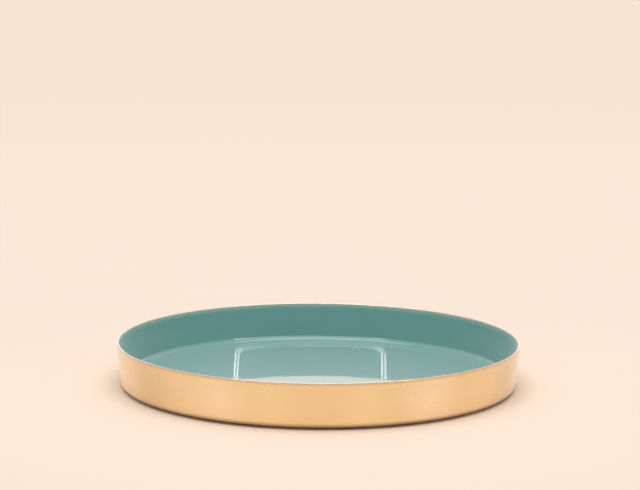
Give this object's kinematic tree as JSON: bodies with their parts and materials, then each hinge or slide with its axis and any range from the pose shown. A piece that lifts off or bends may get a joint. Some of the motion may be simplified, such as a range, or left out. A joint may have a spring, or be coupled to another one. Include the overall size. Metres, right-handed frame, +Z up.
{
  "type": "coin tray",
  "caption": "Shallow round catch-all tray with a spun brass wall and base, a glossy green enamel lining and felt pads underneath.",
  "frame": {"origin": "centre of the surface that the tray stands on, level with the undersides of the felt pads", "axes": "+Z up along the tray's axis of revolution; +X and +Y lie in the table's plane, midway between neighbouring felt pads"},
  "size_m": [0.2, 0.2, 0.0225],
  "materials": {
    "brushed_brass": "satin, spun lines round the wall, clear lacquer",
    "green_enamel": "high gloss fired enamel",
    "grey_felt": "pressed wool felt",
    "adhesive_film": "translucent film with adhesive on both sides"
  },
  "bodies": {
    "root": {"brass_pan": "brushed_brass", "enamel_lining": "green_enamel", "felt_pad_1": "grey_felt", "felt_pad_2": "grey_felt", "felt_pad_3": "grey_felt", "felt_pad_4": "grey_felt", "adhesive_film_1": "adhesive_film", "adhesive_film_2": "adhesive_film", "adhesive_film_3": "adhesive_film", "adhesive_film_4": "adhesive_film"}
  },
  "joints": []
}
